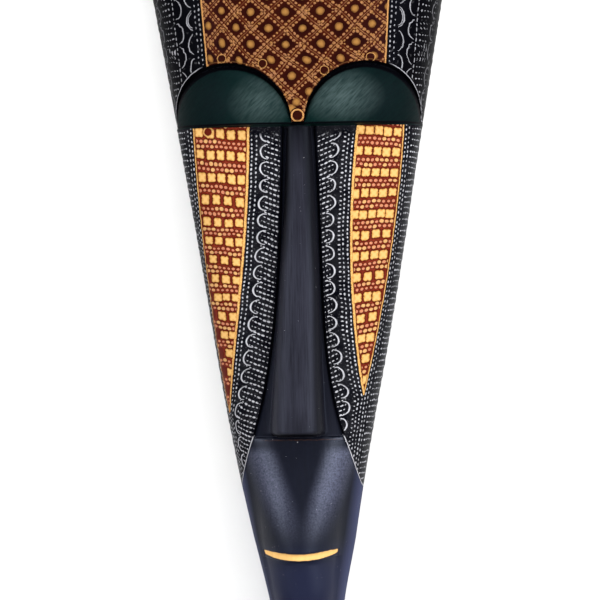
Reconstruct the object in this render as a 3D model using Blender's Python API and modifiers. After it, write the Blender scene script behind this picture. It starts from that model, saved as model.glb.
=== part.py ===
"""A long carved wooden face mask, lying on its rim with the face up.

Metres, +Z up. The crown points along +Y and the chin along -Y, and the origin is under the
middle of the mask, in the plane of its rim. The mask is one block of wood: the front is one
surface of rows and columns that follow the carved edges, and the back is hollowed out.
"""

import bmesh
import bpy

# Overall sizes of the block
LENGTH = 0.500  # crown to chin
WIDTH = 0.1765  # across the temples, at the rim
DEPTH = 0.074  # rim to the tip of the nose
WALL = 0.011  # wood left between the hollow and the outside

# Small carved sizes
EDGE_RUN = 0.0006  # how far a carved step leans
BROW_STEP = 0.0050  # drop from the forehead to the groove over the eyelids
BROW_GROOVE = 0.0026  # width of that groove
BROW_GAP = 0.0024  # least distance from the brow's edge to the eye line
LID_BULGE = 0.0035  # crown of an eyelid over the plain form
CHEEK_STEP = 0.0018  # height of the cheek's inner edge over the furrow beside the nose
NOSE_ROUND = 0.0016  # fall from the middle of the nose to its edge
MOUTH_WIDE = 0.0032  # mouth slit, along the face
MOUTH_DEEP = 0.0030  # mouth slit, into the wood
MOUTH_SMILE = 0.0030  # rise of the slit from its middle to its ends

# The outline narrows in a straight line between a round crown and a round chin
TAPER_START = 0.583  # half width where the taper would meet the crown's tip, share of WIDTH
TAPER_FALL = 0.496  # fall of the half width over the whole length, share of WIDTH
CROWN_ARCH = 0.19  # share of LENGTH taken by the round crown
CHIN_ARCH = 0.08  # share of LENGTH taken by the round chin

# Stations from the crown to the chin
EYE_LINE = 0.348  # share of LENGTH
NOSE_END = 0.714  # share of LENGTH
JAW_CORNER = 0.771  # share of LENGTH: the muzzle's upper edge meets the rim
MOUTH_LINE = 0.850  # share of LENGTH

# The brows, one arch over each eye
BROW_RISE = 0.072  # share of LENGTH, over the eye line
BROW_PEAK = 0.520  # share of the half width
BROW_INNER = 0.470  # share of the half width
BROW_OUTER = 0.465  # share of the half width

# Heights of the forms over the rim
FOREHEAD = 0.845  # share of DEPTH
LID = 0.785  # share of DEPTH
CHEEK_TOP = 0.715  # share of DEPTH
CHEEK_LOW = 0.735  # share of DEPTH
NOSE_TOP = 0.775  # share of DEPTH
NOSE_TIP = 1.000  # share of DEPTH
MUZZLE_TOP = 0.710  # share of DEPTH
MUZZLE_LIP = 0.805  # share of DEPTH
CHIN_LIP = 0.745  # share of DEPTH
CHIN_LOW = 0.620  # share of DEPTH
FOREHEAD_ARCH = 0.24  # share of LENGTH in which the crown rises
CHIN_RISE = 0.11  # share of LENGTH in which the chin rises

# How square each form's section is: 2 is an ellipse, higher is boxier
SQUARE_FOREHEAD = 2.8  # exponent
SQUARE_LID = 2.9  # exponent
SQUARE_CHEEK_TOP = 4.2  # exponent
SQUARE_CHEEK_LOW = 3.2  # exponent
SQUARE_LIP = 2.0  # exponent
SQUARE_CHIN = 2.5  # exponent

# The nose and the furrow beside it, half widths
NOSE_FLAT_TOP = 0.0280  # share of WIDTH
NOSE_FLAT_END = 0.0690  # share of WIDTH
NOSE_FOOT_TOP = 0.0402  # share of WIDTH
NOSE_FOOT_END = 0.0878  # share of WIDTH
FURROW_TOP = 0.0504  # share of WIDTH
FURROW_END = 0.0822  # share of WIDTH, before the flare
FURROW_FLARE = 0.0612  # share of WIDTH
MOUTH_REACH = 0.76  # half length of the mouth, share of the half width there

# The hollow behind the face
HOLLOW_BROW = 0.61  # share of DEPTH, behind the forehead
HOLLOW_CHIN = 0.52  # share of DEPTH, behind the chin
HOLLOW_SQUARE = 2.3  # exponent of its section
HOLLOW_STOP = 0.055  # share of LENGTH left solid at the chin
HOLLOW_CHIN_ARCH = 0.035  # share of LENGTH taken by its round end there
HOLLOW_OUT = 0.004  # how far its cutter stands out of the rim

# Mesh counts
FOREHEAD_ROWS, LID_ROWS, CHEEK_ROWS, MUZZLE_ROWS, CHIN_ROWS = 14, 6, 11, 7, 10
CHEEK_COLUMNS = 18
HOLLOW_ROWS, HOLLOW_COLUMNS = 26, 12
POLE_PACKING = 1.7  # rows crowd towards the crown and the chin
RIM_PACKING = 2.2  # columns crowd towards the rim

BLACK_WOOD = (0.020, 0.022, 0.034, 1.0)
CREASE = 0.6  # radians: edges turned more than this stay sharp
MERGE = 0.00001


def mix(a, b, share):
    return a + (b - a) * share


def arch(share, power=2.0):
    """A quarter of a superellipse: 0 at share 0, level at share 1 and after."""
    left = 1.0 - min(max(share, 0.0), 1.0)
    return (1.0 - left**power) ** (1.0 / power)


def along(y):
    """Share of the length from the crown."""
    return 0.5 - y / LENGTH


def place(share):
    """The y of a station."""
    return (0.5 - share) * LENGTH


def half_width(y):
    t = along(y)
    straight = WIDTH * (TAPER_START - TAPER_FALL * t)
    return straight * arch(t / CROWN_ARCH, 2.2) * arch((1.0 - t) / CHIN_ARCH)


def section(height, square, across):
    """Height of a superellipse section at a share of its half width."""
    return height * max(0.0, 1.0 - min(across, 1.0) ** square) ** (1.0 / square)


def brow_line(across):
    """y of the forehead's carved lower edge: a tip over the nose and an arch over the eye."""
    reach = BROW_INNER if across < BROW_PEAK else BROW_OUTER
    offset = min(abs(across - BROW_PEAK) / reach, 1.0)
    rise = BROW_RISE * LENGTH * (1.0 - offset**2) ** 0.5
    return place(EYE_LINE) + max(BROW_GAP, rise)


def muzzle_line(across):
    """y of the muzzle's upper edge: straight under the nose, then slanting down to the rim."""
    corner = furrow_edge(1.0) / half_width(place(NOSE_END))
    slant = max(0.0, across - corner) / (1.0 - corner)
    return mix(place(NOSE_END), place(JAW_CORNER), slant)


def nose_flat(down):
    """Half width of the nose's face, at a share of the way down the cheek."""
    return WIDTH * mix(NOSE_FLAT_TOP, NOSE_FLAT_END, min(1.0, down / 0.8))


def nose_foot(down):
    return WIDTH * mix(NOSE_FOOT_TOP, NOSE_FOOT_END, down)


def furrow_edge(down):
    """Half distance between the cheeks' inner edges, which flares out at the nose's end."""
    return WIDTH * (mix(FURROW_TOP, FURROW_END, down) + FURROW_FLARE * down**5)


def columns(y, down):
    """Half of a row's places across: nose, furrow, then the cheek out to the rim."""
    half = half_width(y)
    scale = half / half_width(place(EYE_LINE if down <= 0.0 else NOSE_END))
    if 0.0 < down < 1.0:
        scale = 1.0
    inner = [0.0, 0.55 * nose_flat(down), nose_flat(down), nose_foot(down), furrow_edge(down)]
    inner = [x * scale for x in inner]
    start = inner[-1] + min(EDGE_RUN, 0.01 * half)
    outer = []
    for k in range(CHEEK_COLUMNS + 1):
        outer.append(mix(start, half, 1.0 - (1.0 - k / CHEEK_COLUMNS) ** RIM_PACKING))
    return inner + outer


def share_of(x, y):
    half = half_width(y)
    return x / half if half > MERGE else 1.0


def forehead(x, y):
    rise = arch(along(y) / FOREHEAD_ARCH, 2.2)
    return section(DEPTH * FOREHEAD * rise, SQUARE_FOREHEAD, share_of(x, y))


def groove(x, y):
    """The floor of the groove under the brow's edge. It runs out at the rim."""
    return forehead(x, y) * (1.0 - BROW_STEP / (DEPTH * FOREHEAD))


def lid_top(across):
    """y of the groove's lower side, where the eyelid starts."""
    edge = brow_line(across)
    return edge - min(BROW_GROOVE, 0.6 * (edge - place(EYE_LINE)))


def eyelid(x, y, down):
    """The eyelid, from the groove at down 0 to the eye line at down 1."""
    plain = section(DEPTH * LID, SQUARE_LID, share_of(x, y))
    room = (brow_line(share_of(x, y)) - place(EYE_LINE)) / (BROW_RISE * LENGTH)
    crown = arch(down, 2.5) * min(1.0, room) * section(LID_BULGE, 2.0, share_of(x, y))
    return mix(groove(x, y), plain + crown, arch(down, 3.0))


def cheek(x, y, down, column):
    """The cheek, with the nose on the first columns and the furrow beside it."""
    height = DEPTH * mix(CHEEK_TOP, CHEEK_LOW, down)
    plane = section(height, mix(SQUARE_CHEEK_TOP, SQUARE_CHEEK_LOW, down), share_of(x, y))
    if column <= 2:
        ridge = DEPTH * mix(NOSE_TOP, NOSE_TIP, down)
        return ridge - NOSE_ROUND * (x / nose_flat(down)) ** 2
    return plane - CHEEK_STEP if column <= 4 else plane


def muzzle(x, y, down):
    height = DEPTH * mix(MUZZLE_TOP, MUZZLE_LIP, down)
    return section(height, mix(SQUARE_CHEEK_LOW, SQUARE_LIP, down), share_of(x, y))


def mouth_line(across):
    """y of the muzzle's lower edge: the slit lies in its middle and curves up to both ends."""
    return place(MOUTH_LINE) + MOUTH_SMILE * min(1.0, across / MOUTH_REACH) ** 2


def mouth_depth(x, y):
    reach = min(1.0, share_of(x, y) / MOUTH_REACH)
    return MOUTH_DEEP * (1.0 - reach**8)


def chin(x, y, down):
    height = DEPTH * mix(CHIN_LIP, CHIN_LOW, down) * arch((1.0 - along(y)) / CHIN_RISE, 2.2)
    square = mix(SQUARE_LIP, SQUARE_CHIN, min(1.0, 4.0 * down))
    return section(height, square, share_of(x, y))


def row_at(line, nose_share, height):
    """One row of points, centre to rim, on the plan line given and at the height given."""
    points = []
    for column in range(len(columns(0.0, 0.0))):
        y = line(0.0)
        for _ in range(3):
            x = columns(y, nose_share)[column]
            y = line(share_of(x, y))
        x = columns(y, nose_share)[column]
        points.append((x, y, height(x, y, column)))
    return points


def front_rows():
    """Every row of the carved front, from the crown to the chin."""
    crown, chin_tip = LENGTH / 2, -LENGTH / 2
    eye = place(EYE_LINE)
    rows = []
    for k in range(FOREHEAD_ROWS + 1):
        share = (k / FOREHEAD_ROWS) ** POLE_PACKING
        rows.append(
            row_at(lambda s, f=share: mix(crown, brow_line(s), f), 0.0, lambda x, y, c: forehead(x, y))
        )
    rows.append(row_at(lambda s: brow_line(s) - EDGE_RUN, 0.0, lambda x, y, c: groove(x, y)))
    for k in range(LID_ROWS + 1):
        down = k / LID_ROWS
        rows.append(
            row_at(
                lambda s, f=down: mix(lid_top(s), eye, f),
                0.0,
                lambda x, y, c, f=down: eyelid(x, y, f),
            )
        )
    for k in range(CHEEK_ROWS + 1):
        down = min(max(k / CHEEK_ROWS, 0.001), 0.999)
        rows.append(
            row_at(
                lambda s, f=down: mix(eye - EDGE_RUN, muzzle_line(s) + EDGE_RUN, f),
                down,
                lambda x, y, c, f=down: cheek(x, y, f, c),
            )
        )
    for k in range(MUZZLE_ROWS + 1):
        down = k / MUZZLE_ROWS
        rows.append(
            row_at(
                lambda s, f=down: mix(muzzle_line(s), mouth_line(s), f),
                1.0,
                lambda x, y, c, f=down: muzzle(x, y, f),
            )
        )
    for lower in (EDGE_RUN, MOUTH_WIDE - EDGE_RUN):
        rows.append(
            row_at(
                lambda s, d=lower: mouth_line(s) - d,
                1.0,
                lambda x, y, c: muzzle(x, y, 1.0) - mouth_depth(x, y),
            )
        )
    for k in range(CHIN_ROWS + 1):
        down = k / CHIN_ROWS
        share = 1.0 - (1.0 - down) ** POLE_PACKING
        rows.append(
            row_at(
                lambda s, f=share: mix(mouth_line(s) - MOUTH_WIDE, chin_tip, f),
                1.0,
                lambda x, y, c, f=share: chin(x, y, f),
            )
        )
    return rows


def hollow_rows():
    """The hollow's rows: the outline less the wall, under a plain round section."""
    first, last = WALL / LENGTH, 1.0 - HOLLOW_STOP
    rows = []
    for k in range(HOLLOW_ROWS + 1):
        turn = 2.0 * k / HOLLOW_ROWS - 1.0
        t = mix(first, last, 0.5 + 0.5 * turn * (1.5 - 0.5 * turn**2))
        crown_side, chin_side = t - first, last - t
        straight = WIDTH * (TAPER_START - TAPER_FALL * t) - WALL
        half = straight * arch(crown_side / CROWN_ARCH, 2.2) * arch(chin_side / HOLLOW_CHIN_ARCH)
        rise = arch(crown_side / FOREHEAD_ARCH) * arch(chin_side / CHIN_RISE)
        height = DEPTH * mix(HOLLOW_BROW, HOLLOW_CHIN, t) * rise
        row = []
        for c in range(HOLLOW_COLUMNS + 1):
            across = 1.0 - (1.0 - c / HOLLOW_COLUMNS) ** RIM_PACKING
            row.append((half * across, place(t), section(height, HOLLOW_SQUARE, across)))
        rows.append(row)
    return rows


def half_solid(name, rows, base):
    """A half body, open at its middle plane: the rows' surface, then a flat underside at base."""
    for row in rows:
        if row[-1][2] > base + MERGE:
            row.append((row[-1][0], row[-1][1], base))
        row.append((0.0, row[-1][1], base))
    last_row, last_column = len(rows) - 1, len(rows[0]) - 1
    form = bmesh.new()
    bmesh.ops.create_grid(form, x_segments=last_column, y_segments=last_row, size=0.5)
    for vertex in form.verts:
        column = round((vertex.co.x + 0.5) * last_column)
        row = round((0.5 - vertex.co.y) * last_row)
        vertex.co = rows[row][column]
    bmesh.ops.remove_doubles(form, verts=form.verts, dist=MERGE)
    mesh = bpy.data.meshes.new(name)
    form.to_mesh(mesh)
    form.free()
    mesh.shade_smooth()
    mesh.set_sharp_from_angle(angle=CREASE)
    solid = bpy.data.objects.new(name, mesh)
    mirror = solid.modifiers.new("both_sides", "MIRROR")
    mirror.merge_threshold = MERGE
    return solid


def painted(name, colour, roughness):
    material = bpy.data.materials.new(name)
    material.use_nodes = True
    shader = material.node_tree.nodes["Principled BSDF"]
    shader.inputs["Base Color"].default_value = colour
    shader.inputs["Roughness"].default_value = roughness
    material.diffuse_color = colour
    return material


def collection(name):
    made = bpy.data.collections.new(name)
    bpy.context.scene.collection.children.link(made)
    return made


def build():
    for old in list(bpy.data.objects):
        bpy.data.objects.remove(old)
    shown, cutters = collection("wooden_mask"), collection("cutters")

    mask = half_solid("mask", front_rows(), 0.0)
    mask.data.materials.append(painted("black_wood", BLACK_WOOD, 0.35))
    shown.objects.link(mask)

    hollow = half_solid("hollow", hollow_rows(), -HOLLOW_OUT)
    hollow.hide_render = True
    hollow.display_type = "WIRE"
    cutters.objects.link(hollow)

    cut = mask.modifiers.new("hollow_back", "BOOLEAN")
    cut.operation = "DIFFERENCE"
    cut.object = hollow


build()
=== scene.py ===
# %% [markdown]
# # A long carved mask with a wax-drawn pattern
#
# This scene dresses one carved wooden mask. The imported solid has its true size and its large
# forms. Here the same block gets a dense skin with softened knife edges, and every surface gets
# its finish: black oil paint, green eyelids, and the dotted pattern of a resist-painted mask.
# The mask lies on its rim, so its length runs along Y, its width along X, and Z points out of
# the face.

# %% Load the solid and keep its box
import math
from functools import partialmethod

import bpy
import numpy as np
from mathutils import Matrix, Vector


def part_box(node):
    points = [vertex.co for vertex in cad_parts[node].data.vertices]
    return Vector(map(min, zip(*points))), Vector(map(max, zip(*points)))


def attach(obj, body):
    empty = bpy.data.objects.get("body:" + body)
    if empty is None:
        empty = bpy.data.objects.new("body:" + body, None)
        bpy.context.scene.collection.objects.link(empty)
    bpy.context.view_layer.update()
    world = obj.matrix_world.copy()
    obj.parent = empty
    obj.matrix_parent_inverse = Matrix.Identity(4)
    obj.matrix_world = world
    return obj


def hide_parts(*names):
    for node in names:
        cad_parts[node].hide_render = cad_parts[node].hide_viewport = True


MM = 1000.0  # millimetres in a metre

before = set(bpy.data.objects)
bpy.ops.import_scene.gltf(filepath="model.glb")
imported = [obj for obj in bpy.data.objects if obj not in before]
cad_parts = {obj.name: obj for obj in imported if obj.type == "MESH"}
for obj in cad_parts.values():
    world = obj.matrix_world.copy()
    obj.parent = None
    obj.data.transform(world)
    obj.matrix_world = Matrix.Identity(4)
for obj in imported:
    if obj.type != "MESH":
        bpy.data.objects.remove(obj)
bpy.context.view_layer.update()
low, high = (np.array(corner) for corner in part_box("mask"))
WIDTH, LENGTH, DEPTH = high - low
print("solid, mm:", np.round(MM * (high - low), 1))


# %% [markdown]
# ## Small helpers
#
# Most curves of the carving are made from three rules. `mix` goes straight from one value to
# another. `arch` is a quarter of a superellipse, which rises steeply and then levels out, as the
# round end of a block does. `smooth` is an S-shaped step, which is what a knife edge becomes
# after sanding and two coats of paint.


# %% Curve helpers
def mix(a, b, share):
    """a + (b - a) * share"""
    return a + (b - a) * share


def arch(share, power=2.0):
    """(1 - (1 - share)^power)^(1 / power), held between 0 and 1"""
    left = 1.0 - np.clip(share, 0.0, 1.0)
    return (1.0 - left**power) ** (1.0 / power)


def smooth(share):
    """3 share^2 - 2 share^3, held between 0 and 1"""
    share = np.clip(share, 0.0, 1.0)
    return share * share * (3.0 - 2.0 * share)


def bump(value, centre, width):
    """exp(-((value - centre) / width)^2)"""
    return np.exp(-(((value - centre) / width) ** 2))


# %% [markdown]
# ## The outline
#
# Seen from the front the block is a long wedge: the sides are two straight lines from the
# temples down to the chin, joined by a round crown and a small round chin. This outline is
# sawn first, because every later form is measured from it.

# %% Outline and stations
TAPER_START, TAPER_FALL = 0.583, 0.496  # shares of WIDTH
ROUND_END = 2.2  # power of the arches that close the block
CROWN_ARCH, CHIN_ARCH = 0.19, 0.08  # shares of LENGTH
EYE_LINE, NOSE_END, JAW_CORNER, MOUTH_LINE = 0.348, 0.714, 0.777, 0.848  # from the crown


def along(y):
    """share of the length from the crown: 1/2 - y / LENGTH"""
    return 0.5 - y / LENGTH


def place(share):
    """y of a station: (1/2 - share) LENGTH"""
    return (0.5 - share) * LENGTH


def taper(t):
    """WIDTH (start - fall t): the straight sides, as a half width"""
    return WIDTH * (TAPER_START - TAPER_FALL * t)


def half_width(y):
    """straight taper times the two round ends"""
    t = along(y)
    return taper(t) * arch(t / CROWN_ARCH, ROUND_END) * arch((1.0 - t) / CHIN_ARCH)


eye_y, nose_y, lip_y = place(EYE_LINE), place(NOSE_END), place(MOUTH_LINE)
for name, level in ("eyes", eye_y), ("nose's end", nose_y), ("mouth", lip_y):
    print("half width at the", name, "in mm:", round(MM * float(half_width(np.array(level))), 1))

# %% [markdown]
# ## The carved edges
#
# Four carved edges cross the face: the brow with its two arches, the straight lower edge of the
# eyelids, the upper edge of the muzzle, and the lip. Each is a line `y(across)`, where `across`
# is 0 in the middle of the face and 1 at the rim. The rows of the mesh will follow these lines,
# so a knife edge never cuts a row of faces at a slant.

# %% Lines of the carved edges
BROW_RISE, BROW_PEAK, BROW_INNER, BROW_OUTER = 0.072, 0.520, 0.470, 0.465
BROW_GAP, BROW_GROOVE, BROW_STEP = 0.0010, 0.0026, 0.0050
EDGE = 0.0014  # run of a softened knife edge
MOUTH_SMILE, MOUTH_WIDE, MOUTH_DEEP, MOUTH_REACH = 0.0024, 0.0043, 0.0016, 0.76
LIP_RUN, CHIN_RUN = 0.0009, 0.0006  # runs of the slit's two edges


def brow_line(across):
    """eye line + rise sqrt(1 - offset^2), where offset counts from the arch's peak"""
    reach = np.where(across < BROW_PEAK, BROW_INNER, BROW_OUTER)
    offset = np.clip(np.abs(across - BROW_PEAK) / reach, 0.0, 1.0)
    return eye_y + np.maximum(BROW_GAP, BROW_RISE * LENGTH * np.sqrt(1.0 - offset**2))


def under_brow(across, run, share):
    """the brow moved down by run, but at most by that share of the way to the eye line"""
    edge = brow_line(across)
    return edge - np.minimum(run, share * (edge - eye_y))


def brow_foot(across):
    return under_brow(across, EDGE, 0.4)


def lid_line(across):
    """lower side of the groove under the brow"""
    return under_brow(across, BROW_GROOVE, 0.6)


# %% [markdown]
# The nose is a long bar that widens downwards, with a plain furrow on each side. The furrow is
# narrow at the eyes and flares out near the nose's end. The cheeks stand a little proud of it,
# so the decorated surface ends in a crisp edge there.

# %% Lines of the nose and the furrow
NOSE_FOOT = (0.0402, 0.0878)  # top and end, shares of WIDTH
FURROW, FURROW_FLARE = (0.0504, 0.0822), 0.0612  # shares of WIDTH
CHEEK_STEP = 0.0018


def nose_foot(down):
    """half width of the nose at its foot, down from 0 at the eyes to 1 at its end"""
    return WIDTH * mix(*NOSE_FOOT, down)


def furrow_edge(down):
    """half distance between the inner edges of the cheeks"""
    return WIDTH * (mix(*FURROW, down) + FURROW_FLARE * down**5)


def muzzle_line(across):
    """straight under the nose, then slanting down to the rim"""
    corner = furrow_edge(1.0) / half_width(np.array(nose_y))
    slant = np.maximum(0.0, across - corner) / (1.0 - corner)
    return mix(nose_y, place(JAW_CORNER), slant)


def mouth_line(across):
    """mouth line + smile (across / reach)^2"""
    return lip_y + MOUTH_SMILE * np.minimum(1.0, across / MOUTH_REACH) ** 2


# %% [markdown]
# ## Rows and columns
#
# The skin is one grid. A row is given by two of the lines above and how far it lies between
# them, and rows crowd together where a form turns quickly. Columns are given by the nose, its
# foot, the furrow and the rim in the same way. A point's place across depends on its row and
# its row's line depends on its place across, so the two are solved together in a few rounds.


# %% Rows
def spaced(count, power=1.0):
    """count + 1 shares from 0 to 1, crowded at 0 if power > 1"""
    return np.linspace(0.0, 1.0, count + 1) ** power


def straight(y):
    """a line with the same y everywhere"""
    return lambda across: np.full_like(across, y)


def lower(line, by):
    """the same line, moved towards the chin"""
    return lambda across: line(across) - by


crown_y, chin_y = LENGTH / 2, -LENGTH / 2
BANDS = [
    # name, upper line, lower line, shares
    ("forehead", straight(crown_y), brow_line, spaced(110, 1.5)),
    ("brow edge", brow_line, brow_foot, spaced(5)),
    ("groove", brow_foot, lid_line, spaced(3)),
    ("eyelid", lid_line, straight(eye_y), 1.0 - spaced(40, 1.2)[::-1]),
    ("eye edge", straight(eye_y), straight(eye_y - EDGE), spaced(5)),
    ("cheek", straight(eye_y - EDGE), lower(muzzle_line, -EDGE), 1.0 - spaced(140, 1.25)[::-1]),
    ("nose edge", lower(muzzle_line, -EDGE), muzzle_line, spaced(5)),
    ("muzzle", muzzle_line, mouth_line, spaced(48)),
    ("lip edge", mouth_line, lower(mouth_line, LIP_RUN), spaced(4)),
    ("mouth", lower(mouth_line, LIP_RUN), lower(mouth_line, MOUTH_WIDE), spaced(3)),
    ("chin edge", lower(mouth_line, MOUTH_WIDE), lower(mouth_line, MOUTH_WIDE + CHIN_RUN), spaced(3)),
    ("chin", lower(mouth_line, MOUTH_WIDE + CHIN_RUN), straight(chin_y), 1.0 - spaced(44, 1.6)[::-1]),
]
BAND = {name: number for number, (name, *_) in enumerate(BANDS)}


# %% Columns
NOSE_COLUMNS, FURROW_COLUMNS, STEP_COLUMNS, CHEEK_COLUMNS = 20, 5, 3, 57
RIM_PACKING = 1.9  # how closely the columns crowd at the nose's foot and at the rim
ROUNDS, JUST = 6, 0.001  # rounds of solving, and how near the cheek's ends its own form is used


def columns(y, down):
    """x >= 0 of every column at its own y: nose, furrow, step, then the cheek out to the rim"""
    half = half_width(y)
    reference = np.where(down <= 0.0, half_width(np.array(eye_y)), half_width(np.array(nose_y)))
    scale = np.where((down > 0.0) & (down < 1.0), 1.0, half / reference)
    knots = [0.0 * half, nose_foot(down) * scale, furrow_edge(down) * scale]
    knots += [knots[2] + np.minimum(0.5 * EDGE, 0.01 * half), half]
    x, first = np.zeros_like(y), 1
    counts = NOSE_COLUMNS, FURROW_COLUMNS, STEP_COLUMNS, CHEEK_COLUMNS
    for inner, outer, count in zip(knots, knots[1:], counts):
        share = spaced(count)[1:]
        if count in (NOSE_COLUMNS, CHEEK_COLUMNS):
            share = 1.0 - (1.0 - share) ** RIM_PACKING
        part = slice(first, first + count)
        x[:, part] = mix(inner[:, part], outer[:, part], share)
        first += count
    return x


def solve_grid():
    """x, y and across of every point, and the band, the share in it and the share down the cheek
    of every row"""
    shares = [part[min(k, 1) :] for k, (*_, part) in enumerate(BANDS)]
    number = np.repeat(np.arange(len(BANDS)), [len(part) for part in shares])
    share = np.concatenate(shares)
    down = np.clip(share, JUST, 1.0 - JUST)
    down = np.select([number < BAND["cheek"], number > BAND["cheek"]], [0.0, 1.0], down)[:, None]
    count = 1 + NOSE_COLUMNS + FURROW_COLUMNS + STEP_COLUMNS + CHEEK_COLUMNS
    across = np.zeros((len(share), count))
    for _ in range(ROUNDS):
        y = np.empty_like(across)
        for k, (name, above, below, part) in enumerate(BANDS):
            rows = number == k
            y[rows] = mix(above(across[rows]), below(across[rows]), share[rows, None])
        x, half = columns(y, down), half_width(y)
        across = np.where(half > 1e-6, x / np.maximum(half, 1e-6), np.linspace(0.0, 1.0, count))
        across = np.minimum(across, 1.0)
    return x, y, across, number[:, None], share[:, None], down


x_half, y_half, across_half, band, share, down = solve_grid()
print("rows and columns of one half:", x_half.shape)

# %% [markdown]
# ## Heights
#
# Every form is a section across the face. Its height at `across` follows a superellipse,
# `h (1 - across^n)^(1/n)`. With n near 2 the section is round like the chin, and with n near 4
# it is flat with soft shoulders like the cheeks. Between two forms the height goes over in an
# S-shaped step, as broad as the softened edge.

# %% Forms
FOREHEAD, LID, NOSE_TOP, NOSE_TIP = 0.845, 0.785, 0.775, 0.995  # heights, shares of DEPTH
CHEEK_TOP, CHEEK_LOW, MUZZLE_TOP, MUZZLE_LIP = 0.715, 0.735, 0.724, 0.805
CHIN_LIP, CHIN_LOW, LIP_CORNER, LIP_FADE = 0.745, 0.620, (-0.05, 0.15), 0.35
FOREHEAD_ARCH, CHIN_RISE = 0.24, 0.11  # shares of LENGTH
LID_BULGE, LID_PEAK, LID_FALL = 0.0050, 0.62, 0.3  # height in metres, then shares
NOSE_CORNER, NOSE_FRONT = 0.0030, 0.0040
# powers of the sections (a pair from top to end), then of the lid's and the nose's arches
FOREHEAD_SQUARE, LID_SQUARE, NOSE_SQUARE = 2.8, 2.9, 2.8
CHEEK_SQUARE, MUZZLE_SQUARE, CHIN_SQUARE = (4.2, 3.2), (3.2, 2.0), (2.0, 2.5)
LID_ROUND, LID_START, NOSE_ROUND = 2.2, 3.0, 2.6


def section(height, square, across):
    """height (1 - across^square)^(1 / square)"""
    return height * np.maximum(0.0, 1.0 - across**square) ** (1.0 / square)


def forehead(y, across):
    rise = arch(along(y) / FOREHEAD_ARCH, ROUND_END)
    return section(DEPTH * FOREHEAD * rise, FOREHEAD_SQUARE, across)


def groove(y, across):
    return forehead(y, across) * (1.0 - BROW_STEP / (DEPTH * FOREHEAD))


def eyelid(y, across, down):
    """from the groove, in a steep arch, to a lid that is a dome of its own over half the face"""
    plain = section(DEPTH * LID, LID_SQUARE, across)
    dome = section(LID_BULGE, 2.0, np.abs(2.0 * across - 1.0))
    fall = LID_FALL * np.maximum(0.0, (down - LID_PEAK) / (1.0 - LID_PEAK)) ** 2
    lid = plain + dome * (arch(down / LID_PEAK, LID_ROUND) - fall)
    return mix(groove(y, across), lid, arch(down, LID_START))


def cheek(x, y, across, down):
    """the cheek, less the furrow's step, with the nose standing on the furrow's floor"""
    plane = section(DEPTH * mix(CHEEK_TOP, CHEEK_LOW, down), mix(*CHEEK_SQUARE, down), across)
    floor = plane - CHEEK_STEP
    plane = mix(floor, plane, smooth((x - furrow_edge(down)) / (0.5 * EDGE)))
    out = np.minimum(1.0, x / nose_foot(down))
    end = nose_y + 0.5 * EDGE + NOSE_CORNER * out**6
    front = arch((y - end) / NOSE_FRONT, NOSE_ROUND)
    ridge = DEPTH * mix(NOSE_TOP, NOSE_TIP, down) - floor
    return plane + ridge * section(1.0, NOSE_SQUARE, out) * front


def muzzle(across, down):
    """flat-topped under the nose, rounder towards the lip"""
    top = DEPTH * mix(MUZZLE_TOP, MUZZLE_LIP, down)
    return section(top, mix(*MUZZLE_SQUARE, down), across)


def mouth_shape(across):
    """sqrt(1 - (across / reach)^2): how open the mouth is"""
    return np.sqrt(np.maximum(0.0, 1.0 - (across / MOUTH_REACH) ** 2))


def lip_floor(across):
    return muzzle(across, 1.0) - MOUTH_DEEP * mouth_shape(across) ** 0.5


def chin(y, across, down):
    """round below the lip, and as high as the muzzle beside the slit's corners"""
    rise = arch((1.0 - along(y)) / CHIN_RISE, ROUND_END)
    square = mix(*CHIN_SQUARE, np.minimum(1.0, 4.0 * down))
    corner, run = LIP_CORNER
    beside = smooth((across - MOUTH_REACH - corner) / run) * (1.0 - smooth(down / LIP_FADE))
    lip = mix(CHIN_LIP, MUZZLE_LIP, beside)
    return section(DEPTH * mix(lip, CHIN_LOW, down) * rise, square, across)


def height(x, y, across):
    """each band's own form, or the step between its two neighbours"""
    step = smooth(share)
    forms = [
        forehead(y, across),
        mix(forehead(y, across), groove(y, across), step),
        groove(y, across),
        eyelid(y, across, share),
        mix(eyelid(y, across, 1.0), cheek(x, y, across, JUST), step),
        cheek(x, y, across, np.clip(share, JUST, 1.0 - JUST)),
        mix(cheek(x, y, across, 1.0 - JUST), muzzle(across, 0.0), step),
        muzzle(across, share),
        mix(muzzle(across, 1.0), lip_floor(across), step),
        lip_floor(across),
        mix(lip_floor(across), chin(y, across, 0.0), step),
        chin(y, across, share),
    ]
    return np.choose(np.broadcast_to(band, x.shape), forms)


z_half = height(x_half, y_half, across_half)
print("highest point of the nose, mm:", round(MM * float(z_half.max()), 1))

# %% [markdown]
# ## Both halves, and the carver's hand
#
# A hand-carved face is never quite even. The nose bar leans by a millimetre or two, the lower
# half swings to one side, and the surface keeps a faint waviness from the adze that sanding
# doesn't take out. The waviness fades out at the rim so that the mask still lies flat. Tiny
# beads along the sides stand for the wax dots that break the outline there.

# %% Full grid
LEAN_SIDE, LEAN_TURN, LEAN_SPAN = 0.0007, 0.016, (-0.015, 0.11)  # a span is a bump's place and width
SWING, SWING_SPAN = 0.0019, (-0.115, 0.075)
SWELL, SWELL_SPAN = 0.024, (-0.07, 0.085)
CHIN_FALL, CHIN_FALL_START, CHIN_FALL_RUN = 0.06, -0.165, 0.04
LIP_SWING, LIP_SPAN = 0.0014, 0.03
WAVE, WAVE_FADE, BEAD = 0.00022, 0.02, 0.00022  # heights: the waves are whole above WAVE_FADE
WAVES = (61, 37), (-83, 52), (118, -71), (47, 133), (-151, 94)  # radians a metre in x and in y
BEAD_TURNS = 1130, 143, 420  # radians a metre
BEADS_FROM, BEADS_TO, FROM_RUN, TO_RUN = -0.13, 0.23, 0.02, 0.03  # y of both ends, and their runs


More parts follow.
